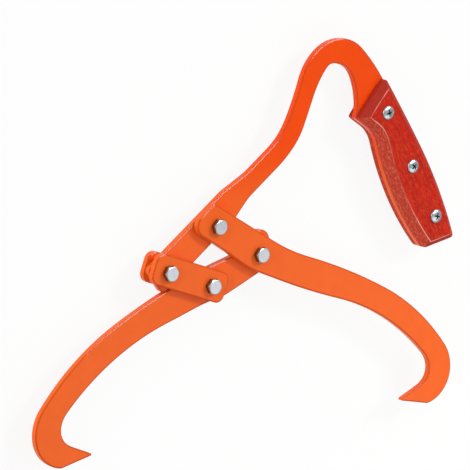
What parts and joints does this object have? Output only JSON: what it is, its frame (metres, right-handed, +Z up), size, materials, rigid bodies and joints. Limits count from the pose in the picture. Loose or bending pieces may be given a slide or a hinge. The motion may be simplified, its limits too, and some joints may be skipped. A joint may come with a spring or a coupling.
{
  "type": "log tongs",
  "caption": "Log tongs with hooked plate jaws, paired links and a swan-neck handle with wooden grip scales; pulling the handle closes the hooks on a log.",
  "frame": {"origin": "middle of the bounding box, on the surface that the tongs lie on with their back down and the jaws open", "axes": "+X across the spread of the jaws towards the right hook and the grip, +Y from the hooks towards the handle, +Z up through the plates, along every pivot"},
  "size_m": [0.365, 0.277, 0.0283],
  "materials": {
    "orange_paint": "satin orange powder coat on mild steel plate",
    "red_wood": "red stained and varnished hardwood",
    "zinc_steel": "bright zinc plated steel",
    "nylon": "natural nylon"
  },
  "bodies": {
    "handle": {"handle_bar": "orange_paint", "front_scale": "red_wood", "rear_scale": "red_wood", "grip_screw_front": "zinc_steel", "grip_screw_middle": "zinc_steel", "grip_screw_rear": "zinc_steel", "grip_barrel_front": "zinc_steel", "grip_barrel_middle": "zinc_steel", "grip_barrel_rear": "zinc_steel"},
    "right_jaw": {"right_jaw": "orange_paint", "main_pivot_bolt": "zinc_steel", "main_pivot_nut": "zinc_steel", "main_pivot_insert": "nylon", "jaw_pivot_bolt": "zinc_steel", "jaw_pivot_nut": "zinc_steel", "jaw_pivot_insert": "nylon"},
    "left_jaw": {"left_jaw": "orange_paint"},
    "links": {"front_link": "orange_paint", "rear_link": "orange_paint", "handle_link_bolt": "zinc_steel", "handle_link_nut": "zinc_steel", "handle_link_insert": "nylon", "jaw_link_bolt": "zinc_steel", "jaw_link_nut": "zinc_steel", "jaw_link_insert": "nylon"}
  },
  "joints": [
    {"name": "right_jaw_close", "type": "hinge", "parent": "handle", "child": "right_jaw", "pos_m": [-0.03287, 0.01949, 0.0152], "axis": [0, 0, -1], "range_deg": [0, 75]},
    {"name": "left_jaw_close", "type": "hinge", "parent": "right_jaw", "child": "left_jaw", "pos_m": [0.00404, -0.00531, 0.0152], "axis": [0, 0, 1], "range_deg": [0, 84.3]},
    {"name": "links_swing", "type": "hinge", "parent": "handle", "child": "links", "pos_m": [-0.07446, -0.00742, 0.0152], "axis": [0, 0, -1], "range_deg": [0, 87.6]}
  ],
  "couplings": [
    {"joint": "left_jaw_close", "follows": "right_jaw_close", "ratio": 1.1232},
    {"joint": "links_swing", "follows": "right_jaw_close", "ratio": 1.1668}
  ]
}
